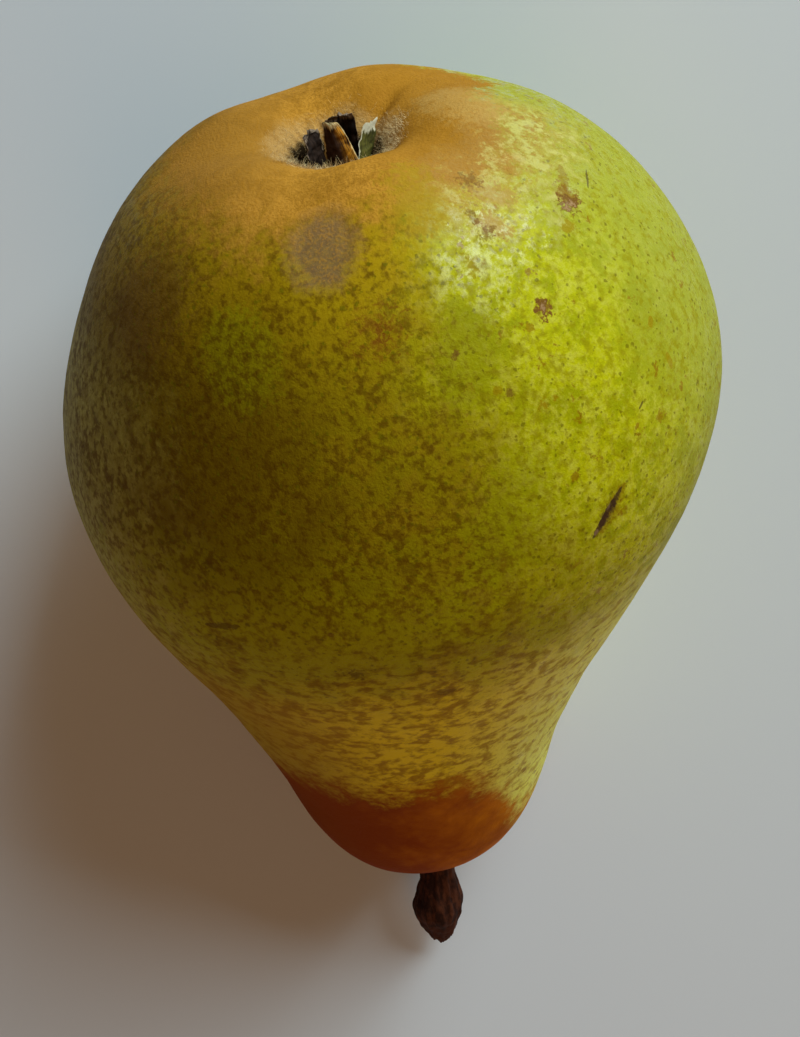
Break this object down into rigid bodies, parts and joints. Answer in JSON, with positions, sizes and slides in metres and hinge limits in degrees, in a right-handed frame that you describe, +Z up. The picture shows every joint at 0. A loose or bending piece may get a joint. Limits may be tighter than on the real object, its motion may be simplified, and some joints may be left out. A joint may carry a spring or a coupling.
{
  "type": "pear",
  "caption": "Whole ripe pear lying on its side, round bulb tapering to a narrow neck, with a woody stalk and a dried calyx in its eye.",
  "frame": {"origin": "middle of the small flat spot that the bulb rests on, at the surface that the pear lies on", "axes": "+Z up from the surface, +X from the eye end of the fruit towards the stalk, level with the surface, +Y sideways"},
  "size_m": [0.112, 0.0693, 0.0673],
  "materials": {
    "skin": "satin, fine russet speckle over yellow-green",
    "stalk": "rough, dark brown bark",
    "sepals": "dry and brittle, brown with pale edges",
    "stamens": "dry, dark brown"
  },
  "bodies": {
    "root": {"fruit": "skin", "stem": "stalk", "sepals": "sepals", "stamens": "stamens"}
  },
  "joints": []
}
